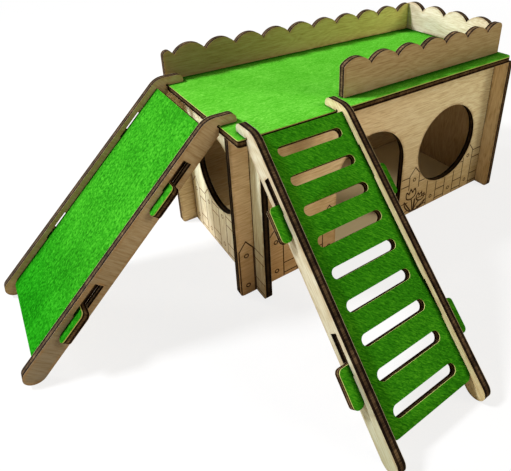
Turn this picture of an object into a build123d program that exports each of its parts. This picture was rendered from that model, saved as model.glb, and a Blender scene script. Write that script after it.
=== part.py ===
from build123d import *
import os
from math import cos, radians, sin

os.makedirs("parts", exist_ok=True)

# Plywood and fits, in millimetres
ply = 4.0                      # every piece is cut from sheet of one thickness
slip = 0.15                    # clearance on each side of a piece that passes through a slot

# House: four walls that cross at the corners in halving joints
house_length = 194.0           # over the outer faces of the two end walls
house_width = 84.0             # over the outer faces of the two long walls
wall_height = 96.5
corner_reach = 10.0            # how far each wall runs on past the wall that it crosses
foot_round = 2.5

right_pier = 16.0              # from the window's edge to the right wall's outer face
middle_pier = 13.6             # between the door and the window
door_width = 54.0
door_spring = 45.5             # height at which the round head of the door begins
window_height = 44.4
window_radius = 27.7
side_hole_centre = 40.5        # from the front wall's outer face
side_hole_height = 55.0
side_hole_radius = 24.5

# Deck: flush with the wall ends at the front and left and with the rear wall
deck_right_inset = 1.5         # from the right wall's outer face
deck_free_round = 4.0          # the front right corner, which nothing covers
deck_corner_round = 1.5

# Parapets: scalloped strips that stand on the deck in the planes of the walls
parapet_peak = 20.7
rear_parapet_peak = 19.5
scallop_pitch = 20.0           # about this much, so that whole scallops fill the strip
scallop_rise = 5.3
front_first_peak = 8.8         # from the strip's start to its first peak
front_last_peak = 4.2          # from its last peak to its end
rear_first_peak = 16.7
rear_last_peak = 1.3
right_first_peak = 11.6
right_last_peak = 8.0
parapet_gap = 0.4              # between two strips that meet in a corner
parapet_inset = 1.6            # from the deck's edge to a strip's free end
parapet_end_round = 3.0
ladder_clearance = 9.0         # from the ladder's rail to the front parapet

# Under the parapets: pegs that hold them in the deck, and lugs of the long walls that place it
peg_width = 14.0
lug_width = 14.0
front_peg_inset = 18.0         # from the strip's end to the middle of the peg or lug
front_lug_inset = 46.0
rear_peg_inset = 24.0
rear_lug_inset = 62.0
right_peg_inset = 14.0

# Ramp and ladder: a board between two rails whose arms hook over the deck
slope_angle = 45.0
rail_width = 10.4
arm_reach = 9.2
arm_height = 4.7
arm_end_round = 3.3
arm_tip_round = 0.8
bend_round = 11.0
hook_gap = 0.5                 # from the deck's edge to the rail
hook_drop = 4.5                # from the deck's top to where the rail turns down the slope
hook_relief = 0.8
board_length = 130.0
board_corner_round = 3.0
ramp_margin = 8.0              # from the front wall's outer face to the ramp's rail
rear_margin = 3.0              # from the ramp's rear rail to the rear parapet
ladder_width = 47.0
ladder_centre = 21.5           # from the left wall's outer face
ramp_board_start = 1.4         # down the slope, from the rails' reference point
ladder_board_start = -1.2

# Locking tabs: a head passes a slot in the rail, then slides down the slope behind it
ramp_slot_start = 18.3         # from the rails' reference point to the upper end of the first slot
ladder_slot_start = 17.0
slot_pitch = 67.3
slot_count = 2
head_length = 15.8
head_play = 0.5                # at each end of a head while it passes its slot
neck_length = 4.6
tab_reach = 5.1                # how far a head stands out of the rail
head_round = 2.0
slot_play = 0.6                # above the board, which rests on the lower side of its slots

# Foot slots of the ladder
foot_slot_count = 9
foot_slot_first = 9.3          # from the board's top end to the middle of the first slot
foot_slot_last = 7.9           # from the middle of the last slot to the board's low end
foot_slot_width = 5.0
foot_slot_length = 36.0

# What follows from those sizes
lap_height = wall_height / 2
deck_top = wall_height + ply
deck_right = house_length - deck_right_inset
window_centre = house_length - right_pier - window_radius
door_centre = window_centre - window_radius - middle_pier - door_width / 2
front_parapet_start = ladder_centre + ladder_width / 2 + ply + ladder_clearance
front_parapet_length = deck_right - parapet_inset - front_parapet_start
rear_parapet_start = parapet_inset - corner_reach
rear_parapet_length = deck_right - ply - parapet_gap - rear_parapet_start
right_parapet_start = ply + parapet_gap
right_parapet_length = house_width - right_parapet_start
lug_height = ply - slip
slot_length = head_length + 2 * head_play
ramp_front = ramp_margin + ply
ramp_rear = house_width - 2 * ply - rear_margin
ramp_width = ramp_rear - ramp_front
foot_slot_pitch = (board_length - foot_slot_first - foot_slot_last) / (foot_slot_count - 1)

slope = radians(slope_angle)
down_slope = Vector(cos(slope), -sin(slope))
off_slope = Vector(sin(slope), cos(slope))
hook_corner = Vector(hook_gap, deck_top)
hook_low = Vector(hook_gap, deck_top - hook_drop)
rail_point = hook_low + off_slope * (rail_width / 2)
foot_centre = rail_point + down_slope * ((rail_point.Y - rail_width / 2) / sin(slope))
rail_run = foot_centre.X + rail_width / 2

# The origin is on the floor, under the middle of the whole object
left_extent = corner_reach + rail_run
right_extent = house_length + corner_reach
front_extent = corner_reach + rail_run
rear_extent = house_width + corner_reach
house_x = (left_extent - right_extent) / 2
house_y = (front_extent - rear_extent) / 2


def long_wall_plane(rear_y, start_x=0.0, height=0.0):
    """Upright plane along the house; its sheet grows towards the front."""
    return Plane(
        origin=(house_x + start_x, house_y + rear_y, height),
        x_dir=(1, 0, 0),
        z_dir=(0, -1, 0),
    )


def end_wall_plane(left_x, start_y=0.0, height=0.0):
    """Upright plane across the house; its sheet grows towards the right."""
    return Plane(
        origin=(house_x + left_x, house_y + start_y, height),
        x_dir=(0, 1, 0),
        z_dir=(1, 0, 0),
    )


def wall_blank(span):
    """A wall's sheet, with its ends past both corners and its feet rounded."""
    with Locations((span / 2, 0)):
        Rectangle(span + 2 * corner_reach, wall_height, align=(Align.CENTER, Align.MIN))
    fillet(vertices().group_by(Axis.Y)[0], foot_round)


def halving_slots(span, bottom):
    """Slots, half the wall high, that take the two walls crossing this one."""
    with Locations((ply / 2, bottom), (span - ply / 2, bottom)):
        Rectangle(ply + 2 * slip, lap_height, align=(Align.CENTER, Align.MIN), mode=Mode.SUBTRACT)


def wall_lugs(places):
    """Lugs on a wall's top edge that reach up into the deck, under a parapet."""
    with Locations(*[(place, wall_height) for place in places]):
        Rectangle(lug_width, lug_height, align=(Align.CENTER, Align.MIN))


def parapet_outline(length, height, first_peak, last_peak, pegs):
    """A strip with a scalloped top, standing on Y = 0, and its pegs below."""
    run = length - first_peak - last_peak
    count = round(run / scallop_pitch)
    pitch = run / count
    radius = ((pitch / 2) ** 2 + scallop_rise ** 2) / (2 * scallop_rise)
    Rectangle(length, height - scallop_rise, align=(Align.MIN, Align.MIN))
    with Locations(*[(first_peak + i * pitch, height - radius) for i in range(-1, count + 2)]):
        Circle(radius)
    Rectangle(length, height, align=(Align.MIN, Align.MIN), mode=Mode.INTERSECT)
    with Locations(*[(peg, 0) for peg in pegs]):
        Rectangle(peg_width, ply, align=(Align.CENTER, Align.MAX))


def round_free_end(end_x, height):
    """Rounds the upper corner of a strip where it ends free."""
    fillet(vertices().sort_by_distance((end_x, height))[0], parapet_end_round)


def slope_point(distance):
    """Point on a rail's centre line, this far down the slope from its reference point."""
    return rail_point + down_slope * distance


def rail_outline(slot_start):
    """A rail seen from the side: X runs out from the deck's edge, Y is the height."""
    half = off_slope * (rail_width / 2)
    arm_top = deck_top + arm_height
    upper_edge = rail_point + half
    bend = upper_edge - down_slope * ((arm_top - upper_edge.Y) / sin(slope))
    arm_tip = Vector(-arm_reach, deck_top)
    arm_end = Vector(-arm_reach, arm_top)
    foot_tip = foot_centre + down_slope * (rail_width / 2)
    with BuildLine() as outline:
        Polyline(foot_centre - half, hook_low, hook_corner, arm_tip, arm_end, bend, foot_centre + half)
        ThreePointArc(foot_centre + half, foot_tip, foot_centre - half)
    make_face(outline.edges())
    fillet(vertices().sort_by_distance(bend)[0], bend_round)
    fillet(vertices().sort_by_distance(arm_end)[0], arm_end_round)
    fillet(vertices().sort_by_distance(arm_tip)[0], arm_tip_round)
    with Locations(hook_corner):
        Circle(hook_relief, mode=Mode.SUBTRACT)
    slot_middles = [slot_start + slot_length / 2 + i * slot_pitch for i in range(slot_count)]
    with Locations(*[slope_point(middle) + off_slope * (slot_play / 2) for middle in slot_middles]):
        Rectangle(slot_length, ply + slot_play, rotation=-slope_angle, mode=Mode.SUBTRACT)


def board_outline(width, start, slot_start):
    """A board along X, which runs down the slope, with two locking tabs on each side."""
    with Locations((start, 0)):
        Rectangle(board_length, width, align=(Align.MIN, Align.CENTER))
    fillet(vertices().group_by(Axis.X)[-1], board_corner_round)
    rail_outer = width / 2 + ply
    head_inner = rail_outer + slip
    head_outer = rail_outer + tab_reach
    for i in range(slot_count):
        neck_end = slot_start + slot_length + i * slot_pitch
        neck_start = neck_end - neck_length
        for side in (-1, 1):
            with Locations(((neck_start + neck_end) / 2, side * (width / 2 + head_inner) / 2)):
                Rectangle(neck_length, head_inner - width / 2)
            with Locations((neck_start + head_length / 2, side * (head_inner + head_outer) / 2)):
                RectangleRounded(head_length, head_outer - head_inner, head_round)
            with Locations((neck_start + neck_length / 2, side * (head_inner + head_round / 2))):
                Rectangle(neck_length, head_round)


def ramp_rail_plane(inner_y):
    """Upright plane of a ramp rail, X towards the left; its sheet grows towards the rear."""
    return Plane(
        origin=(house_x - corner_reach, house_y + inner_y, 0),
        x_dir=(-1, 0, 0),
        z_dir=(0, 1, 0),
    )


def ladder_rail_plane(right_x):
    """Upright plane of a ladder rail, X towards the front; its sheet grows to the left."""
    return Plane(
        origin=(house_x + right_x, house_y - corner_reach, 0),
        x_dir=(0, -1, 0),
        z_dir=(-1, 0, 0),
    )


def deck_slots(places, width, across):
    """Slots through the deck: across is True where the strip runs from front to rear."""
    long_side = width + 2 * slip
    short_side = ply + 2 * slip
    with Locations(*places):
        if across:
            Rectangle(short_side, long_side, mode=Mode.SUBTRACT)
        else:
            Rectangle(long_side, short_side, mode=Mode.SUBTRACT)


# Places along each strip, from its own end, and the same places along the house
front_pegs = [front_peg_inset, front_parapet_length - front_peg_inset]
front_lugs = [front_lug_inset, front_parapet_length - front_lug_inset]
rear_pegs = [rear_peg_inset, rear_parapet_length / 2, rear_parapet_length - rear_peg_inset]
rear_lugs = [rear_lug_inset, rear_parapet_length - rear_lug_inset]
right_pegs = [right_peg_inset, right_parapet_length - right_peg_inset]
front_peg_x = [front_parapet_start + place for place in front_pegs]
front_lug_x = [front_parapet_start + place for place in front_lugs]
rear_peg_x = [rear_parapet_start + place for place in rear_pegs]
rear_lug_x = [rear_parapet_start + place for place in rear_lugs]
right_peg_y = [right_parapet_start + place for place in right_pegs]

# Long walls, with their halving slots open at the floor
with BuildPart() as front_wall:
    with BuildSketch(long_wall_plane(ply)):
        wall_blank(house_length)
        halving_slots(house_length, 0)
        wall_lugs(front_lug_x)
        with Locations((door_centre, 0)):
            Rectangle(door_width, door_spring, align=(Align.CENTER, Align.MIN), mode=Mode.SUBTRACT)
        with Locations((door_centre, door_spring)):
            Circle(door_width / 2, mode=Mode.SUBTRACT)
        with Locations((window_centre, window_height)):
            Circle(window_radius, mode=Mode.SUBTRACT)
    extrude(amount=ply)
front_wall.part.label = "front_wall"
export_step(front_wall.part, "parts/front_wall.step")

with BuildPart() as rear_wall:
    with BuildSketch(long_wall_plane(house_width)):
        wall_blank(house_length)
        halving_slots(house_length, 0)
        wall_lugs(rear_lug_x)
    extrude(amount=ply)
rear_wall.part.label = "rear_wall"
export_step(rear_wall.part, "parts/rear_wall.step")

# End walls, with their halving slots open at the top
with BuildPart() as left_wall:
    with BuildSketch(end_wall_plane(0)):
        wall_blank(house_width)
        halving_slots(house_width, lap_height)
        with Locations((side_hole_centre, side_hole_height)):
            Circle(side_hole_radius, mode=Mode.SUBTRACT)
    extrude(amount=ply)
left_wall.part.label = "left_wall"
export_step(left_wall.part, "parts/left_wall.step")

with BuildPart() as right_wall:
    with BuildSketch(end_wall_plane(house_length - ply)):
        wall_blank(house_width)
        halving_slots(house_width, lap_height)
    extrude(amount=ply)
right_wall.part.label = "right_wall"
export_step(right_wall.part, "parts/right_wall.step")

# Deck, with a slot for every peg and lug
with BuildPart() as deck:
    with BuildSketch(Plane(origin=(house_x, house_y, wall_height))):
        with Locations((-corner_reach, -corner_reach)):
            Rectangle(deck_right + corner_reach, house_width + corner_reach, align=(Align.MIN, Align.MIN))
        free_corner = (deck_right, -corner_reach)
        fillet(vertices().sort_by_distance(free_corner)[1:], deck_corner_round)
        fillet(vertices().sort_by_distance(free_corner)[0], deck_free_round)
        deck_slots([(x, ply / 2) for x in front_peg_x], peg_width, False)
        deck_slots([(x, ply / 2) for x in front_lug_x], lug_width, False)
        deck_slots([(x, house_width - ply / 2) for x in rear_peg_x], peg_width, False)
        deck_slots([(x, house_width - ply / 2) for x in rear_lug_x], lug_width, False)
        deck_slots([(deck_right - ply / 2, y) for y in right_peg_y], peg_width, True)
    extrude(amount=ply)
deck.part.label = "deck"
export_step(deck.part, "parts/deck.step")

# Parapets
with BuildPart() as front_parapet:
    with BuildSketch(long_wall_plane(ply, front_parapet_start, deck_top)):
        parapet_outline(front_parapet_length, parapet_peak, front_first_peak, front_last_peak, front_pegs)
        round_free_end(front_parapet_length, parapet_peak)
    extrude(amount=ply)
front_parapet.part.label = "front_parapet"
export_step(front_parapet.part, "parts/front_parapet.step")

with BuildPart() as rear_parapet:
    with BuildSketch(long_wall_plane(house_width, rear_parapet_start, deck_top)):
        parapet_outline(rear_parapet_length, rear_parapet_peak, rear_first_peak, rear_last_peak, rear_pegs)
        round_free_end(0, rear_parapet_peak)
    extrude(amount=ply)
rear_parapet.part.label = "rear_parapet"
export_step(rear_parapet.part, "parts/rear_parapet.step")

with BuildPart() as right_parapet:
    with BuildSketch(end_wall_plane(deck_right - ply, right_parapet_start, deck_top)):
        parapet_outline(right_parapet_length, parapet_peak, right_first_peak, right_last_peak, right_pegs)
    extrude(amount=ply)
right_parapet.part.label = "right_parapet"
export_step(right_parapet.part, "parts/right_parapet.step")

# Ramp, down to the left
with BuildPart() as ramp_board:
    board_plane = Plane(
        origin=(house_x - corner_reach - rail_point.X, house_y + (ramp_front + ramp_rear) / 2, rail_point.Y),
        x_dir=(-down_slope.X, 0, down_slope.Y),
        z_dir=(-off_slope.X, 0, off_slope.Y),
    )
    with BuildSketch(board_plane):
        board_outline(ramp_width, ramp_board_start, ramp_slot_start)
    extrude(amount=ply / 2, both=True)
ramp_board.part.label = "ramp_board"
export_step(ramp_board.part, "parts/ramp_board.step")

with BuildPart() as ramp_front_rail:
    with BuildSketch(ramp_rail_plane(ramp_margin)):
        rail_outline(ramp_slot_start)
    extrude(amount=ply)
ramp_front_rail.part.label = "ramp_front_rail"
export_step(ramp_front_rail.part, "parts/ramp_front_rail.step")

with BuildPart() as ramp_rear_rail:
    with BuildSketch(ramp_rail_plane(ramp_rear)):
        rail_outline(ramp_slot_start)
    extrude(amount=ply)
ramp_rear_rail.part.label = "ramp_rear_rail"
export_step(ramp_rear_rail.part, "parts/ramp_rear_rail.step")

# Ladder, down to the front
with BuildPart() as ladder_board:
    board_plane = Plane(
        origin=(house_x + ladder_centre, house_y - corner_reach - rail_point.X, rail_point.Y),
        x_dir=(0, -down_slope.X, down_slope.Y),
        z_dir=(0, -off_slope.X, off_slope.Y),
    )
    with BuildSketch(board_plane):
        board_outline(ladder_width, ladder_board_start, ladder_slot_start)
        first_slot = ladder_board_start + foot_slot_first
        slot_places = [(first_slot + i * foot_slot_pitch, 0) for i in range(foot_slot_count)]
        with Locations(*slot_places):
            SlotOverall(foot_slot_length, foot_slot_width, rotation=90, mode=Mode.SUBTRACT)
    extrude(amount=ply / 2, both=True)
ladder_board.part.label = "ladder_board"
export_step(ladder_board.part, "parts/ladder_board.step")

with BuildPart() as ladder_left_rail:
    with BuildSketch(ladder_rail_plane(ladder_centre - ladder_width / 2)):
        rail_outline(ladder_slot_start)
    extrude(amount=ply)
ladder_left_rail.part.label = "ladder_left_rail"
export_step(ladder_left_rail.part, "parts/ladder_left_rail.step")

with BuildPart() as ladder_right_rail:
    with BuildSketch(ladder_rail_plane(ladder_centre + ladder_width / 2 + ply)):
        rail_outline(ladder_slot_start)
    extrude(amount=ply)
ladder_right_rail.part.label = "ladder_right_rail"
export_step(ladder_right_rail.part, "parts/ladder_right_rail.step")
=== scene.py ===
import math

import bpy
from mathutils import Matrix, Vector


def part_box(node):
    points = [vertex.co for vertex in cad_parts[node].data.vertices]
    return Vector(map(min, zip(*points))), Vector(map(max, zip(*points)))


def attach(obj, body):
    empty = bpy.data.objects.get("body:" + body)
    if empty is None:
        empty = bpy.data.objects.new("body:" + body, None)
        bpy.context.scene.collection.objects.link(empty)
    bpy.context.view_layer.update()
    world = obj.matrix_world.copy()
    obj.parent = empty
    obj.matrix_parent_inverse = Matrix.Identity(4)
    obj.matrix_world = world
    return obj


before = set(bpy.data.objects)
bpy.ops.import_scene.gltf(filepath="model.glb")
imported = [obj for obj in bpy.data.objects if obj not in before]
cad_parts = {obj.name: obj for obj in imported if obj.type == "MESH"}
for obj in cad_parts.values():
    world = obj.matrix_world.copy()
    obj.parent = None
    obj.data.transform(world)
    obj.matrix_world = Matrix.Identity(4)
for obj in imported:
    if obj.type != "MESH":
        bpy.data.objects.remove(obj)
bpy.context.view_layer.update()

MM = 0.001
X, Y, Z = Vector((1, 0, 0)), Vector((0, 1, 0)), Vector((0, 0, 1))


def reach_mm(first, last, axis):
    """Outer size from one wall's low side to another's high side, in mm."""
    return round((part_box(last)[1][axis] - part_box(first)[0][axis]) / MM, 2)


# The house, worked out from its walls; its corner is on the floor, at the outer faces of the
# left wall and of the front wall
HOUSE = Vector((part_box("left_wall")[0].x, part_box("front_wall")[0].y, 0.0))
HOUSE_LENGTH = reach_mm("left_wall", "right_wall", 0)
HOUSE_WIDTH = reach_mm("front_wall", "rear_wall", 1)
WALL_HEIGHT = reach_mm("left_wall", "left_wall", 2)
PLY = reach_mm("left_wall", "left_wall", 0)
WALL_REACH = (reach_mm("front_wall", "front_wall", 0) - HOUSE_LENGTH) / 2


# Shader helpers
class Tree:
    """The node tree of a material or a world, with short calls for the nodes used here."""

    def __init__(self, owner):
        owner.use_nodes = True
        self.owner = owner
        self.nodes = owner.node_tree.nodes
        self.links = owner.node_tree.links
        self.nodes.clear()

    def add(self, kind, settings=None, **inputs):
        made = self.nodes.new(kind)
        for key, value in (settings or {}).items():
            setattr(made, key, value)
        for key, value in inputs.items():
            self.put(made.inputs[key.replace("_", " ")], value)
        return made

    def put(self, socket, value):
        if isinstance(value, bpy.types.NodeSocket):
            self.links.new(value, socket)
        else:
            socket.default_value = value

    def math(self, operation, first, second=0.0):
        made = self.add("ShaderNodeMath", {"operation": operation})
        self.put(made.inputs[0], first)
        self.put(made.inputs[1], second)
        return made.outputs[0]

    def plus(self, first, second):
        return self.math("ADD", first, second)

    def minus(self, first, second):
        return self.math("SUBTRACT", first, second)

    def times(self, first, second):
        return self.math("MULTIPLY", first, second)

    def dot(self, vector, direction):
        made = self.add("ShaderNodeVectorMath", {"operation": "DOT_PRODUCT"})
        self.put(made.inputs[0], vector)
        made.inputs[1].default_value = direction
        return made.outputs["Value"]

    def combine(self, x, y, z):
        return self.add("ShaderNodeCombineXYZ", X=x, Y=y, Z=z).outputs[0]

    def noise(self, vector, scale, detail, roughness, curl=0.0):
        made = self.add(
            "ShaderNodeTexNoise",
            Vector=vector,
            Scale=scale,
            Detail=detail,
            Roughness=roughness,
            Distortion=curl,
        )
        return made.outputs["Fac"]

    def band(self, value, low, high):
        """0 below low, 1 above high, smooth between."""
        made = self.add("ShaderNodeMapRange", {"interpolation_type": "SMOOTHSTEP"})
        self.put(made.inputs["Value"], value)
        made.inputs["From Min"].default_value = low
        made.inputs["From Max"].default_value = high
        return made.outputs["Result"]

    def crowded(self, reach, low, high, settings=None):
        """1 where surfaces crowd in within reach, in mm, and 0 in the open."""
        made = self.add("ShaderNodeAmbientOcclusion", {"samples": 8, **(settings or {})}, Distance=reach * MM)
        return self.minus(1.0, self.band(made.outputs["AO"], low, high))

    def ramp(self, value, stops):
        made = self.add("ShaderNodeValToRGB", Fac=value)
        elements = made.color_ramp.elements
        while len(elements) < len(stops):
            elements.new(0.5)
        for element, (place, colour) in zip(elements, stops):
            element.position = place
            element.color = (*colour, 1.0)
        return made.outputs["Color"]

    def mix(self, factor, first, second, blend="MIX"):
        made = self.add("ShaderNodeMix", {"data_type": "RGBA", "blend_type": blend})
        self.put(made.inputs[0], factor)
        for socket, value in ((made.inputs[6], first), (made.inputs[7], second)):
            self.put(socket, value if isinstance(value, bpy.types.NodeSocket) else (*value, 1.0))
        return made.outputs[2]

    def tint(self, colour, tone):
        return self.mix(1.0, colour, tone, "MULTIPLY")

    def blend(self, factor, first, second):
        made = self.add("ShaderNodeMix", {"data_type": "FLOAT"})
        self.put(made.inputs[0], factor)
        self.put(made.inputs[2], first)
        self.put(made.inputs[3], second)
        return made.outputs[0]

    def mix_shader(self, factor, first, second):
        made = self.add("ShaderNodeMixShader")
        for socket, value in zip(made.inputs, (factor, first.outputs[0], second.outputs[0])):
            self.put(socket, value)
        return made.outputs[0]

    def principled(self, colour, roughness, height, bump_mm, specular):
        """Ends a material in a surface with its bump; specular is the same all over."""
        bump = self.add("ShaderNodeBump", Height=height, Distance=bump_mm * MM)
        shader = self.add(
            "ShaderNodeBsdfPrincipled",
            Base_Color=colour,
            Roughness=roughness,
            Normal=bump.outputs["Normal"],
            Specular_IOR_Level=specular,
        )
        self.add("ShaderNodeOutputMaterial", Surface=shader.outputs[0])
        return self.owner


# Directions; the ramp's and the ladder's UP are square to their slopes
RAMP_DOWN = Vector((-1, 0, -1)).normalized()
RAMP_UP = Vector((-1, 0, 1)).normalized()
LADDER_DOWN = Vector((0, -1, -1)).normalized()
LADDER_UP = Vector((0, -1, 1)).normalized()
LADDER_STROKES = (X + LADDER_DOWN * 0.9).normalized()    # brushed slantwise across the board

# Each sheet's normal and grain
SHEETS = {
    "front_wall": (Y, X),
    "rear_wall": (Y, X),
    "left_wall": (X, Z),
    "right_wall": (X, Z),
    "deck": (Z, X),
    "front_parapet": (Y, X),
    "rear_parapet": (Y, X),
    "right_parapet": (X, Y),
    "ramp_board": (RAMP_UP, RAMP_DOWN),
    "ramp_front_rail": (Y, RAMP_UP),
    "ramp_rear_rail": (Y, RAMP_UP),
    "ladder_board": (LADDER_UP, LADDER_STROKES),
    "ladder_left_rail": (X, LADDER_DOWN),
    "ladder_right_rail": (X, LADDER_DOWN),
}

# Colours by the tone of a pattern, from dark to light
BARE_FACE = [
    (0.19, (0.43, 0.305, 0.150)),
    (0.37, (0.60, 0.475, 0.272)),
    (0.58, (0.72, 0.610, 0.392)),
    (0.82, (0.80, 0.710, 0.500)),
]
# One green stain in three strengths: the ramp's and the ladder's are darker, partly painted shade against the
# lamps that light those boards more
GREENS = {
    "deck": [
        (0.35, (0.048, 0.330, 0.010)),
        (0.50, (0.094, 0.470, 0.026)),
        (0.65, (0.186, 0.630, 0.068)),
    ],
    "ramp_board": [
        (0.38, (0.013, 0.156, 0.005)),
        (0.50, (0.027, 0.272, 0.009)),
        (0.62, (0.066, 0.415, 0.021)),
    ],
    "ladder_board": [
        (0.38, (0.014, 0.132, 0.003)),
        (0.50, (0.030, 0.234, 0.006)),
        (0.62, (0.078, 0.374, 0.012)),
    ],
}
BURNT_EDGE = [
    (0.34, (0.0040, 0.0020, 0.0012)),
    (0.50, (0.0120, 0.0065, 0.0036)),
    (0.66, (0.0480, 0.0270, 0.0140)),
]
CORE_EDGE = [
    (0.34, (0.0200, 0.0116, 0.0060)),
    (0.50, (0.0780, 0.0470, 0.0230)),
    (0.66, (0.2200, 0.1420, 0.0720)),
]
PORE_COLOUR = (0.36, 0.235, 0.12)
SMOKE_COLOUR = (0.34, 0.205, 0.085)
GLUE_COLOUR = (0.012, 0.007, 0.006)
RIM_COLOUR = (0.55, 0.42, 0.25)
SOAKED_COLOUR = (0.62, 0.58, 0.20)
# Painted shade on the stain, where it meets the sheets that stand on it
PAINTED_CORNER_SHADE = (0.10, 0.19, 0.13)

# Each sheet's tone where it isn't plain: partly its own wood, partly painted shade and light, darker or
# lighter by how the sheet lies in the light
SHEET_TONE_AND_PAINTED_SHADE = {
    "front_wall": (1.16, 1.20, 1.26),
    "left_wall": (1.00, 1.06, 1.18),
    "right_wall": (1.12, 1.05, 1.00),
    "ramp_front_rail": (0.64, 0.62, 0.56),
    "ramp_rear_rail": (0.56, 0.54, 0.46),
    "ladder_left_rail": (0.76, 0.83, 0.86),
    "ladder_right_rail": (1.04, 1.07, 0.96),
    "front_parapet": (0.70, 0.66, 0.57),
    "rear_parapet": (0.50, 0.52, 0.37),
    "right_parapet": (1.06, 1.08, 1.32),
}
# Painted shade and light that drift along a sheet, darker where the sheet lies in shade, such as towards the
# floor and the feet of the ramp and the ladder, with a painted green reflection of the deck on the rear
# parapet: direction, tone at its start and end, share of the length
PAINTED_LIGHT_RUNS = {
    "front_wall": [
        (Z, (0.66, 0.57, 0.46), (1.04, 1.06, 1.08), 0.72),
        (X, (0.97, 0.86, 0.80), (1.04, 1.12, 1.14), 1.0),
    ],
    "left_wall": [(Z, (0.96, 0.97, 0.98), (1.13, 1.29, 1.34), 0.5)],
    "rear_wall": [
        (X, (1.13, 1.14, 1.20), (0.72, 0.68, 0.60), 0.09),
        (X, (1.00, 1.00, 1.00), (1.90, 1.95, 2.00), 1.0),
    ],
    "rear_parapet": [(X, (0.68, 0.66, 0.62), (2.10, 2.16, 1.70), 1.0)],
    "front_parapet": [(X, (1.04, 1.04, 1.08), (0.90, 0.90, 0.88), 1.0)],
    "ladder_left_rail": [(-LADDER_DOWN, (0.76, 0.84, 0.86), (1.10, 1.15, 1.32), 0.5)],
    "ramp_front_rail": [(-RAMP_DOWN, (0.54, 0.56, 0.68), (1.02, 0.98, 1.02), 0.85)],
    "ramp_board": [(-RAMP_DOWN, (0.36, 0.78, 0.48), (1.00, 1.00, 1.00), 0.5)],
}
# The painted shade and light of these two lie on the inner face only; their outer faces stay plain veneer
PLAIN_OUTSIDE = ("rear_wall", "rear_parapet")    # their tones hold only on the inner face
# How light a sheet's cut edge is, where it isn't 1: partly how deep the burn goes, and on the front parapet
# also a painted highlight where light catches its top edges
EDGE_TONE = {
    "front_wall": 0.50,
    "left_wall": 0.40,
    "ramp_front_rail": 0.90,
    "ramp_rear_rail": 0.90,
    "ladder_left_rail": 0.84,
    "ladder_right_rail": 0.84,
    "front_parapet": 1.30,
}

# Patterns: waves per mm along and across the grain, detail, roughness, curl
FIBRES = (0.095, 1.35, 6.0, 0.62, 0.25)
GROWTH = (0.010, 0.055, 2.0, 0.45, 0.9)
PORES = (0.30, 3.4, 2.0, 0.5, 0.0)
PATCHES = (0.020, 0.032, 3.0, 0.55, 0.0)
WAVER = (0.20, 1.15, 4.0, 0.6, 0.5)
STREAKS = (2.2, 2.2, 4.0, 0.6, 0.0)
MOTTLE = {
    "deck": (0.28, 0.85, 3.0, 0.6, 2.2),
    "ramp_board": (0.66, 0.72, 3.0, 0.6, 0.6),
    "ladder_board": (0.48, 2.20, 3.0, 0.6, 0.9),
}
# Clouds: waves per mm, roughness
SMOKE_CLOUDS = (0.20, 0.6)
STAIN_CLOUDS = (0.045, 0.5)
SCORCH_CLOUDS = (0.17, 0.5)

GROWTH_TURNS = 96.0              # growth bands are the sine of the slow pattern, so many radians
STREAK_RISE = 0.35               # the laser's streaks stand nearly upright in the edge
SEED_ALONG, SEED_ACROSS = 37.0, 53.0     # mm between two sheets' places in the patterns
SMOKE_REACH = 2.2                # mm from a cut
CORNER_REACH = 16.0              # mm from a sheet that stands on the stain

# What each pattern adds to a tone
GROWTH_SHARE, WAVER_SHARE, PATCHES_SHARE = 0.060, 0.36, 0.45
STAIN_FIBRES_SHARE, MOTTLE_SHARE, STAIN_CLOUDS_SHARE = 0.30, 0.70, 0.20
STREAKS_SHARE, SCORCH_SHARE = 0.55, 0.45

# How strongly a second colour covers the first
PORES_IN_WOOD, PORES_IN_STAIN = 0.34, 0.40
PORE_DARKNESS = 0.35             # a stained pore's colour, as a share of the darkest green
SMOKE, SMOKE_ON_LADDER_RAILS = 0.55, 0.40
GLUE, RIM, SOAKED = 0.8, 0.35, 0.75

# Soft steps: a pattern, or how open a place is, turns from 0 to 1 between these values
PORE_STEP = (0.60, 0.74)
SMOKE_CLOUDS_STEP = (0.34, 0.58)
SMOKE_STEP = (0.62, 0.98)
CORNER_STEP = (0.57, 0.74)

# Soft steps in the depth of a sheet, in mm from its middle
HALF = PLY / 2
OUTSIDE_STEP = (-0.1, 0.1)
STAIN_STEP = (0.0, 0.1)
CORE_STEP = (0.55, 0.80)
GLUE_START = (0.62, 0.70)
GLUE_END = (0.76, 0.86)
CHAR_STEP = (1.70, 1.82)
SOAKED_STEP = (HALF - 0.55, HALF - 0.45)
RIM_STEP = (HALF - 0.16, HALF - 0.10)
FACE_STEP = (HALF - 0.03, HALF - 0.01)

# Roughness, from a pattern's dark places to its light ones
WOOD_ROUGHNESS = (0.66, 0.54)
STAIN_ROUGHNESS = (0.62, 0.46)
EDGE_ROUGHNESS = 0.82
WOOD_SPECULAR, STAIN_SPECULAR = 0.06, 0.0    # the stain has soaked in and hardly shines

# Relief: how far streaks rise and pores sink beside the fibres, and the bump's depth in mm
STREAK_RELIEF, PORE_RELIEF = 1.6, 0.5
WOOD_BUMP, LINE_BUMP = 0.05, 0.03


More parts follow.
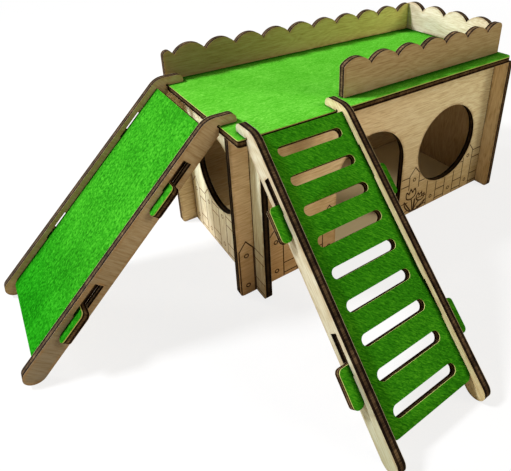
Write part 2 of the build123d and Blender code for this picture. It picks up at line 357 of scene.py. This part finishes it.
class Sheet:
    """One plywood sheet's material; places in it are in mm, with depth from its middle ply."""

    def __init__(self, name, normal, grain, seed):
        self.name = name
        self.seed = seed
        self.tree = tree = Tree(bpy.data.materials.new("plywood_" + name))
        self.place = tree.add("ShaderNodeTexCoord").outputs["Object"]
        self.along = tree.plus(tree.dot(self.place, grain / MM), SEED_ALONG * seed)
        self.across = tree.plus(tree.dot(self.place, normal.cross(grain) / MM), SEED_ACROSS * seed)
        self.depth = tree.minus(tree.dot(self.place, normal / MM), sum(self.span(normal)) / 2)
        self.side = tree.math("ABSOLUTE", self.depth)
        self.fibres = self.pattern(FIBRES, self.depth)
        self.pores = tree.band(self.pattern(PORES), *PORE_STEP)
        self.streaks = self.pattern(STREAKS, tree.times(self.depth, STREAK_RISE))

    def span(self, direction):
        """Where the sheet starts and ends along a direction, in mm."""
        reaches = [direction.dot(v.co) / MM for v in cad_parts[self.name].data.vertices]
        return min(reaches), max(reaches)

    def pattern(self, settings, third=None):
        along_waves, across_waves, detail, roughness, curl = settings
        tree = self.tree
        place = tree.combine(
            tree.times(self.along, along_waves),
            tree.times(self.across, across_waves),
            self.seed if third is None else third,
        )
        return tree.noise(place, 1.0, detail, roughness, curl)

    def clouds(self, settings, third=None):
        waves, roughness = settings
        place = self.tree.combine(self.along, self.across, self.seed if third is None else third)
        return self.tree.noise(place, waves, 3.0, roughness)

    def with_painted_light(self, colour):
        """The colour, with painted shade and light drifting along the sheet as PAINTED_LIGHT_RUNS says."""
        tree = self.tree
        for direction, first, last, share in PAINTED_LIGHT_RUNS.get(self.name, ()):
            start, end = self.span(direction)
            step = tree.band(tree.dot(self.place, direction / MM), start, start + share * (end - start))
            colour = tree.tint(colour, tree.mix(step, first, last))
        return colour

    def smoked(self, colour):
        """A brown haze of the laser on the face beside each cut."""
        tree = self.tree
        near_cut = tree.crowded(SMOKE_REACH, *SMOKE_STEP, {"inside": True, "only_local": True})
        uneven = tree.band(self.clouds(SMOKE_CLOUDS), *SMOKE_CLOUDS_STEP)
        strength = SMOKE_ON_LADDER_RAILS if self.name in ("ladder_left_rail", "ladder_right_rail") else SMOKE
        return tree.mix(tree.times(tree.times(near_cut, uneven), strength), colour, SMOKE_COLOUR)

    def bare_face(self):
        """Veneer: fibres, growth bands that bend slowly, broad patches and short dark pores."""
        tree = self.tree
        growth = tree.math("SINE", tree.times(self.pattern(GROWTH), GROWTH_TURNS))
        waver = tree.minus(self.pattern(WAVER), 0.5)
        patches = tree.minus(self.pattern(PATCHES), 0.5)
        tone = tree.plus(self.fibres, tree.times(growth, GROWTH_SHARE))
        tone = tree.plus(tone, tree.times(waver, WAVER_SHARE))
        tone = tree.plus(tone, tree.times(patches, PATCHES_SHARE))
        dark = tree.times(self.pores, PORES_IN_WOOD)
        veneer = tree.mix(dark, tree.ramp(tone, BARE_FACE), PORE_COLOUR)
        # Painted shade and light: the sheet's tone, then its drift along the sheet
        face = tree.tint(veneer, SHEET_TONE_AND_PAINTED_SHADE.get(self.name, (1.0, 1.0, 1.0)))
        if self.name not in GREENS:
            face = self.with_painted_light(face)
        if self.name in PLAIN_OUTSIDE:
            face = tree.mix(tree.band(self.depth, *OUTSIDE_STEP), face, veneer)
        return self.smoked(face)

    def stained_face(self, bare, bare_roughness):
        """Stain on the upper face: a brushed mottle, dark in the pores, with painted shade near the sheets
        that stand on it.
        """
        tree = self.tree
        greens = GREENS[self.name]
        mottle = self.pattern(MOTTLE[self.name])
        clouds = tree.minus(self.clouds(STAIN_CLOUDS), 0.5)
        tone = tree.plus(tree.times(self.fibres, STAIN_FIBRES_SHARE), tree.times(mottle, MOTTLE_SHARE))
        tone = tree.plus(tone, tree.times(clouds, STAIN_CLOUDS_SHARE))
        dark = tree.times(self.pores, PORES_IN_STAIN)
        darkest = greens[0][1]
        stain = tree.mix(dark, tree.ramp(tone, greens), tuple(PORE_DARKNESS * c for c in darkest))
        stain = self.with_painted_light(stain)
        # Painted shade: the stain darkens near the parapets and walls that stand on it, where their shade
        # falls
        painted_shade_near = tree.crowded(CORNER_REACH, *CORNER_STEP)
        stain = tree.mix(painted_shade_near, stain, tree.tint(stain, PAINTED_CORNER_SHADE))
        upper = tree.band(self.depth, *STAIN_STEP)
        face = tree.mix(upper, bare, stain)
        roughness = tree.blend(upper, bare_roughness, tree.blend(mottle, *STAIN_ROUGHNESS))
        return face, roughness

    def cut_edge(self):
        """Three plies, glue lines, and the laser's fine upright streaks."""
        tree = self.tree
        scorch = self.clouds(SCORCH_CLOUDS, self.depth)
        tone = tree.plus(tree.times(self.streaks, STREAKS_SHARE), tree.times(scorch, SCORCH_SHARE))
        outer = tree.ramp(tone, BURNT_EDGE)
        edge = tree.mix(tree.band(self.side, *CORE_STEP), tree.ramp(tone, CORE_EDGE), outer)
        before_end = tree.minus(1.0, tree.band(self.side, *GLUE_END))
        glue = tree.times(tree.band(self.side, *GLUE_START), before_end)
        edge = tree.mix(tree.times(glue, GLUE), edge, GLUE_COLOUR)
        edge = tree.mix(tree.band(self.side, *CHAR_STEP), edge, outer)
        # The edge's lightness, on the front parapet partly a painted highlight
        burn = EDGE_TONE.get(self.name, 1.0)
        return tree.tint(edge, (burn, burn, burn))

    def material(self):
        """Faces, a thin light rim and the cut edge, told apart by the depth in the sheet."""
        tree = self.tree
        stained = self.name in GREENS
        bare = self.bare_face()
        face, roughness = bare, tree.blend(self.fibres, *WOOD_ROUGHNESS)
        if stained:
            face, roughness = self.stained_face(bare, roughness)
        rim = tree.mix(RIM, bare, RIM_COLOUR)
        body = tree.mix(tree.band(self.side, *RIM_STEP), self.cut_edge(), rim)
        if stained:
            soaked = tree.mix(SOAKED, face, SOAKED_COLOUR)
            body = tree.mix(tree.band(self.depth, *SOAKED_STEP), body, soaked)
        on_face = tree.band(self.side, *FACE_STEP)
        relief = tree.minus(self.fibres, tree.times(self.pores, PORE_RELIEF))
        return tree.principled(
            colour=tree.mix(on_face, body, face),
            roughness=tree.blend(on_face, EDGE_ROUGHNESS, roughness),
            height=tree.blend(on_face, tree.times(self.streaks, STREAK_RELIEF), relief),
            bump_mm=WOOD_BUMP,
            specular=STAIN_SPECULAR if stained else WOOD_SPECULAR,
        )


WELD_REACH = 0.002               # mm
BEVEL = 0.28


def soften_edges(piece):
    """Welds doubled points and bevels the sharp edges by a trace."""
    weld = piece.modifiers.new("weld", "WELD")
    weld.merge_threshold = WELD_REACH * MM
    bevel = piece.modifiers.new("soft_edges", "BEVEL")
    bevel.width = BEVEL * MM
    bevel.segments = 2
    bevel.limit_method = "ANGLE"
    bevel.angle_limit = math.radians(40)
    bevel.harden_normals = True


for seed, (name, (normal, grain)) in enumerate(SHEETS.items(), start=1):
    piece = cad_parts[name]
    piece.data.materials.clear()
    piece.data.materials.append(Sheet(name, normal, grain, seed).material())
    soften_edges(piece)


# Engraving
def engraving_material(name, dark, light):
    tree = Tree(bpy.data.materials.new(name))
    place = tree.add("ShaderNodeTexCoord").outputs["Object"]
    burn = tree.noise(place, 0.9 / MM, 4.0, 0.6)
    return tree.principled(
        colour=tree.ramp(burn, [(0.30, dark), (0.72, light)]),
        roughness=tree.blend(burn, 0.90, 0.74),
        height=burn,
        bump_mm=LINE_BUMP,
        specular=0.2,
    )


ENGRAVED = engraving_material("engraved_line", (0.022, 0.010, 0.005), (0.090, 0.048, 0.020))
# A lighter copy of the engraving, painted light for the brightly lit left wall
ENGRAVED_PAINTED_LIT = engraving_material("engraved_line_painted_lit", (0.150, 0.090, 0.045), (0.360, 0.250, 0.140))
FENCE_LINE = 0.72                # widths of the lines, mm
PETAL_LINE = 1.05
SEAM = 0.3
LINE_PROUD = 0.04                # how far a line's middle stands off the face, mm
RIDGE = ((-1, 0.0), (-0.7, LINE_PROUD), (0.7, LINE_PROUD), (1, 0.0))   # share of half width, lift
LINE_STEP = 0.4                  # mm between a line's points
RING_POINTS = 20
CURVE_STEPS = 14


def anywhere(u, v):
    return True


class Engraving:
    """Lines burnt into one wall: U and V are mm along it and up, out is the way it faces."""

    def __init__(self, name, origin, u_axis, out, keep=anywhere):
        self.name = name
        self.origin = origin
        self.u_axis = u_axis
        self.out = out
        self.keep = keep
        self.points = []
        self.faces = []

    def ribbon(self, line, width, closed=False):
        """A low ridge along the line, widened at its bends."""
        count = len(line)
        first = len(self.points)
        for i, point in enumerate(line):
            back = line[i - 1] if closed or i else point
            ahead = line[(i + 1) % count] if closed or i < count - 1 else point
            arrive = (Vector(point) - Vector(back)).normalized()
            leave = (Vector(ahead) - Vector(point)).normalized()
            run = (arrive + leave).normalized()
            bend = 1.0
            if arrive.length and leave.length:
                bend = max(0.5, math.sqrt(max(0.0, (1 + arrive.dot(leave)) / 2)))
            side = Vector((-run.y, run.x)) * (width / 2 / bend)
            for share, lift in RIDGE:
                u = point[0] + share * side.x
                v = point[1] + share * side.y
                self.points.append(self.origin + (self.u_axis * u + Z * v + self.out * lift) * MM)
        for i in range(count if closed else count - 1):
            low = first + len(RIDGE) * i
            high = first + len(RIDGE) * ((i + 1) % count)
            for k in range(len(RIDGE) - 1):
                self.faces.append((low + k, low + k + 1, high + k + 1, high + k))

    def line(self, *corners, width=FENCE_LINE):
        """A line through the corners, kept only where the sheet is."""
        points = [corners[0]]
        for start, end in zip(corners, corners[1:]):
            steps = max(1, round(math.dist(start, end) / LINE_STEP))
            for i in range(1, steps + 1):
                points.append(tuple(a + (b - a) * i / steps for a, b in zip(start, end)))
        run = []
        for point in points + [None]:
            if point and self.keep(*point):
                run.append(point)
                continue
            if len(run) > 2:
                self.ribbon(run, width)
            run = []

    def ring(self, u, v, radius):
        turns = [2 * math.pi * i / RING_POINTS for i in range(RING_POINTS)]
        self.ribbon([(u + radius * math.cos(t), v + radius * math.sin(t)) for t in turns], FENCE_LINE, True)

    def curve(self, start, control, end):
        """A petal line from start to end, drawn towards control."""
        points = []
        for i in range(CURVE_STEPS + 1):
            t = i / CURVE_STEPS
            weights = ((1 - t) ** 2, 2 * t * (1 - t), t ** 2)
            points.append(tuple(
                weights[0] * a + weights[1] * b + weights[2] * c
                for a, b, c in zip(start, control, end)
            ))
        self.line(*points, width=PETAL_LINE)

    def make(self, material=ENGRAVED):
        mesh = bpy.data.meshes.new(self.name)
        mesh.from_pydata([tuple(p) for p in self.points], [], self.faces)
        mesh.materials.append(material)
        made = bpy.data.objects.new(self.name, mesh)
        bpy.context.scene.collection.objects.link(made)
        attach(made, "house")


# Openings of the walls, in mm from the house's corner
DOOR_LEFT, DOOR_RIGHT = 55.0, 109.0
WINDOW = (150.3, 44.4, 27.7)     # centre along the wall, height, radius
SIDE_HOLE = (40.5, 55.0, 24.5)
MARGIN = 0.5                     # lines stop so far before an opening or a wall's end
GAP = 0.2                        # and so far beside a crossing wall


def in_hole(hole, u, v):
    centre, height, radius = hole
    return math.hypot(u - centre, v - height) < radius + MARGIN


def on_front(u, v):
    if DOOR_LEFT - MARGIN < u < DOOR_RIGHT + MARGIN or in_hole(WINDOW, u, v):
        return False
    between_walls = PLY < u < HOUSE_LENGTH - PLY - GAP
    return MARGIN - WALL_REACH < u < -GAP or between_walls or u > HOUSE_LENGTH + GAP


def on_left(u, v):
    if in_hole(SIDE_HOLE, u, v):
        return False
    between_walls = PLY + GAP < u < HOUSE_WIDTH - PLY - GAP
    past_rear = HOUSE_WIDTH + GAP < u < HOUSE_WIDTH + WALL_REACH - MARGIN
    return MARGIN - WALL_REACH < u < -GAP or between_walls or past_rear


# The picket fence round the foot of the front wall and the left wall
PICKET_PEAK = 35.5
PICKET_SHOULDER = 30.0
PICKET_HALF = 4.6
END_PICKET_HALF = 4.2            # the one on the front wall's left reach is narrower
PICKET_PITCH = 18.3
FRONT_FIRST, SIDE_FIRST = 13.4, 19.7     # the first picket of each wall, from the house's corner
FLOWER_PICKET = 121.5
RIGHT_PICKETS = (139.8, 158.1, 176.5)
REACH_PICKET = 4.9               # a picket's centre on a wall's reach, from its crossing wall
RAIL_LINES = (29.3, 23.1, 9.6, 2.6)
NAIL_HEIGHTS = (26.2, 6.0)
NAIL_RADIUS = 1.15
FLOOR_EDGE = 0.6
ABOVE_FLOWERS = 19.0


def picket(face, centre, half=PICKET_HALF, foot=FLOOR_EDGE):
    face.line(
        (centre - half, foot),
        (centre - half, PICKET_SHOULDER),
        (centre, PICKET_PEAK),
        (centre + half, PICKET_SHOULDER),
        (centre + half, foot),
    )
    for height in NAIL_HEIGHTS:
        if face.keep(centre, height) and height > foot:
            face.ring(centre, height, NAIL_RADIUS)


def rails(face, start, pickets, end):
    """The fence's rails from start to end, hidden behind the pickets."""
    edges = [start]
    for centre in pickets:
        edges += [centre - PICKET_HALF, centre + PICKET_HALF]
    edges.append(end)
    for left_end, right_end in zip(edges[0::2], edges[1::2]):
        for height in RAIL_LINES:
            face.line((left_end, height), (right_end, height))


def front_fence():
    """The front wall's fence; the picket by the flowers starts above them."""
    face = Engraving("fence_lines_front", HOUSE, X, -Y, on_front)
    left_pickets = [FRONT_FIRST + PICKET_PITCH * i for i in range(3)]
    picket(face, -REACH_PICKET, half=END_PICKET_HALF)
    for centre in left_pickets:
        picket(face, centre)
    picket(face, FLOWER_PICKET, foot=ABOVE_FLOWERS)
    for centre in (*RIGHT_PICKETS, HOUSE_LENGTH + REACH_PICKET):
        picket(face, centre)
    rails(face, PLY + 0.2, left_pickets, DOOR_LEFT)
    rails(face, DOOR_RIGHT + 0.6, (FLOWER_PICKET, *RIGHT_PICKETS), HOUSE_LENGTH - PLY - 0.4)
    face.make()


def side_fence():
    """The left wall's fence, with rails alone on its two reaches, in the lighter engraving that is painted
    light for the brightly lit wall.
    """
    face = Engraving("fence_lines_left", HOUSE, Y, -X, on_left)
    pickets = [SIDE_FIRST + PICKET_PITCH * i for i in range(4)]
    for centre in pickets:
        picket(face, centre)
    rails(face, PLY + 0.4, pickets, HOUSE_WIDTH - PLY - 0.4)
    rails(face, 0.6 - WALL_REACH, (), -0.3)
    rails(face, HOUSE_WIDTH + 0.4, (), HOUSE_WIDTH + WALL_REACH - 0.6)
    face.make(ENGRAVED_PAINTED_LIT)


def seams(name, origin, u_axis, out, span):
    """Burnt lines that show where two walls cross."""
    face = Engraving(name, origin, u_axis, out)
    for u in (-SEAM / 2, PLY + SEAM / 2, span - PLY - SEAM / 2, span + SEAM / 2):
        face.line((u, 0.4), (u, WALL_HEIGHT - 0.2), width=SEAM)
    face.make()


def tulip(face, stem_foot, head, tilt, size):
    """A bent stem, a cup of two curved sides and a zigzag rim, with the head tilted."""
    u, v = head
    half = 0.62 * size
    rim = size * 1.15
    face.curve(stem_foot, (stem_foot[0], (stem_foot[1] + v) / 2), (u, v))

    def turned(a, b):
        return u + a * math.cos(tilt) + b * math.sin(tilt), v - a * math.sin(tilt) + b * math.cos(tilt)

    for sign in (-1, 1):
        face.curve(turned(0, 0), turned(sign * half * 1.7, size * 0.1), turned(sign * half, rim))
    face.line(
        turned(-half, rim),
        turned(-half * 0.45, size * 0.75),
        turned(0, size * 1.3),
        turned(half * 0.45, size * 0.75),
        turned(half, rim),
        width=PETAL_LINE,
    )


def leaf(face, foot, bow, tip):
    """Two curves from foot to tip, one bowed out and one nearly straight."""
    face.curve(foot, bow, tip)
    inner = (foot[0] + (bow[0] - foot[0]) * 0.25, bow[1] * 0.72)
    face.curve(foot, inner, tip)


def door_tulips():
    """Two tulips with three leaves, beside the door."""
    face = Engraving("tulips_by_door", HOUSE, X, -Y, on_front)
    tulip(face, (121.8, FLOOR_EDGE), head=(120.2, 11.4), tilt=-0.14, size=6.2)
    tulip(face, (123.6, FLOOR_EDGE), head=(128.0, 7.2), tilt=0.34, size=5.2)
    leaf(face, (121.2, FLOOR_EDGE), bow=(114.0, 4.2), tip=(113.6, 11.0))
    leaf(face, (124.2, FLOOR_EDGE), bow=(132.6, 1.2), tip=(134.4, 6.0))
    leaf(face, (122.6, FLOOR_EDGE), bow=(124.4, 6.0), tip=(123.6, 10.4))
    face.make()


front_fence()
side_fence()
seams("corner_seams_front", HOUSE, X, -Y, HOUSE_LENGTH)
seams("corner_seams_rear", HOUSE + Y * HOUSE_WIDTH * MM, X, Y, HOUSE_LENGTH)
seams("corner_seams_left", HOUSE, Y, -X, HOUSE_WIDTH)
seams("corner_seams_right", HOUSE + X * HOUSE_LENGTH * MM, Y, X, HOUSE_WIDTH)
door_tulips()


# Stage, light and camera
FLOOR_HALF = 3.0                 # m
FLOOR_LEVEL = -0.0001
FLOOR_SEEN = (0.93, 0.93, 0.93)
# Inside the walls the floor is painted shade: browner to the camera and throwing back little light, so the
# closed room reads dark
FLOOR_SEEN_INSIDE_SHADE_PAINTED = (0.94, 0.86, 0.62)
FLOOR_THROWN = (0.70, 0.59, 0.44)            # what the floor throws back at the object
FLOOR_THROWN_INSIDE_SHADE_PAINTED = (0.34, 0.22, 0.11)
WHITE_NEAR, WHITE_FAR = 0.80, 1.0            # how far the floor is lifted towards white
LIFT_START, LIFT_END = 0.3, 0.9              # m from the middle


def floor_material():
    """Pale ground: painted shade inside the walls, browner and throwing back little light, lifted towards
    white around the object.
    """
    tree = Tree(bpy.data.materials.new("floor"))
    seen = tree.add("ShaderNodeLightPath").outputs["Is Camera Ray"]
    place = tree.add("ShaderNodeTexCoord").outputs["Object"]
    inside = 1.0
    for direction, low, span in ((X, HOUSE.x, HOUSE_LENGTH), (Y, HOUSE.y, HOUSE_WIDTH)):
        value = tree.dot(place, direction)
        inside = tree.times(inside, tree.math("GREATER_THAN", value, low + HALF * MM))
        inside = tree.times(inside, tree.math("LESS_THAN", value, low + (span - HALF) * MM))
    # Painted shade on the floor inside the walls
    thrown = tree.mix(inside, FLOOR_THROWN, FLOOR_THROWN_INSIDE_SHADE_PAINTED)
    colour = tree.mix(seen, thrown, tree.mix(inside, FLOOR_SEEN, FLOOR_SEEN_INSIDE_SHADE_PAINTED))
    away = tree.add("ShaderNodeVectorMath", {"operation": "LENGTH"})
    tree.put(away.inputs[0], place)
    lift = tree.blend(tree.band(away.outputs["Value"], LIFT_START, LIFT_END), WHITE_NEAR, WHITE_FAR)
    around = tree.times(seen, tree.minus(1.0, inside))
    ground = tree.add("ShaderNodeBsdfDiffuse", Color=colour)
    white = tree.add("ShaderNodeEmission")
    surface = tree.mix_shader(tree.times(around, lift), ground, white)
    tree.add("ShaderNodeOutputMaterial", Surface=surface)
    return tree.owner


def make_floor():
    corners = [(-1, -1), (1, -1), (1, 1), (-1, 1)]
    mesh = bpy.data.meshes.new("floor")
    mesh.from_pydata([(x * FLOOR_HALF, y * FLOOR_HALF, FLOOR_LEVEL) for x, y in corners], [], [(0, 1, 2, 3)])
    mesh.materials.append(floor_material())
    floor = bpy.data.objects.new("floor", mesh)
    bpy.context.scene.collection.objects.link(floor)


def soft_box(name, direction, distance, size, strength, colour):
    """A round soft box, in m, that looks at the house's middle; strength is as a sun's, there."""
    data = bpy.data.lights.new(name, "AREA")
    data.shape = "DISK"
    data.size = size
    data.energy = strength * math.pi * distance ** 2
    data.color = colour
    made = bpy.data.objects.new(name, data)
    middle = HOUSE + Vector((HOUSE_LENGTH / 2, HOUSE_WIDTH / 2, WALL_HEIGHT / 2)) * MM
    away = Vector(direction).normalized()
    turn = away.to_track_quat("Z", "Y").to_matrix().to_4x4()
    made.matrix_world = Matrix.Translation(middle + away * distance) @ turn
    bpy.context.scene.collection.objects.link(made)


def lamp(name, direction, energy, colour, spread):
    """A sun that shines from direction, with a soft disc of so many degrees."""
    data = bpy.data.lights.new(name, "SUN")
    data.energy = energy
    data.color = colour
    data.angle = math.radians(spread)
    made = bpy.data.objects.new(name, data)
    made.rotation_mode = "QUATERNION"
    made.rotation_quaternion = Vector(direction).to_track_quat("Z", "Y")
    bpy.context.scene.collection.objects.link(made)


def studio_world():
    """A dim warm sky for the object, and plain white where the camera sees past the floor."""
    world = bpy.data.worlds.new("studio")
    tree = Tree(world)
    seen = tree.add("ShaderNodeLightPath").outputs["Is Camera Ray"]
    sky = tree.add("ShaderNodeBackground", Color=(1.0, 0.93, 0.82, 1.0), Strength=0.20)
    white = tree.add("ShaderNodeBackground", Color=(1.0, 1.0, 1.0, 1.0), Strength=1.0)
    tree.add("ShaderNodeOutputWorld", Surface=tree.mix_shader(seen, sky, white))
    bpy.context.scene.world = world


make_floor()
soft_box("key", (-0.88, 0.50, 1.08), distance=1.6, size=0.30, strength=3.50, colour=(0.98, 1.0, 1.04))
lamp("side", (-0.75, 1.0, 0.25), energy=1.9, colour=(1.0, 1.0, 1.0), spread=12)
lamp("fill", (0.8, -1.0, 0.80), energy=1.10, colour=(1.0, 0.85, 0.64), spread=24)
studio_world()

IMAGE_WIDTH, IMAGE_HEIGHT = 511, 471
FOCAL = 480.66                   # pixels
CENTRE = (302.3, 120.0)          # where the camera's axis meets the image, in pixels
AZIMUTH, ELEVATION, ROLL = (math.radians(a) for a in (-34.891, 25.638, -0.40))
CAMERA_PLACE = Vector((-92.99, -178.45, 199.6))   # from the house's corner, mm


def photo_camera():
    """The camera at the photograph's viewing angle, with the shift of its framing."""
    level = Vector((math.cos(AZIMUTH), math.sin(AZIMUTH), 0.0))
    forward = Vector((
        -math.sin(AZIMUTH) * math.cos(ELEVATION),
        math.cos(AZIMUTH) * math.cos(ELEVATION),
        -math.sin(ELEVATION),
    ))
    over = level.cross(forward)
    right = level * math.cos(ROLL) + over * math.sin(ROLL)
    up = over * math.cos(ROLL) - level * math.sin(ROLL)
    data = bpy.data.cameras.new("camera")
    data.sensor_width = 36.0
    data.lens = FOCAL / IMAGE_WIDTH * data.sensor_width
    data.shift_x = (IMAGE_WIDTH / 2 - CENTRE[0]) / IMAGE_WIDTH
    data.shift_y = (CENTRE[1] - IMAGE_HEIGHT / 2) / IMAGE_WIDTH
    data.clip_start = 0.01
    data.clip_end = 20.0
    camera = bpy.data.objects.new("camera", data)
    turn = Matrix((right, up, -forward)).transposed().to_4x4()
    camera.matrix_world = Matrix.Translation(HOUSE + CAMERA_PLACE * MM) @ turn
    bpy.context.scene.collection.objects.link(camera)
    return camera


bpy.context.scene.camera = photo_camera()
bpy.context.scene.view_settings.view_transform = "Standard"
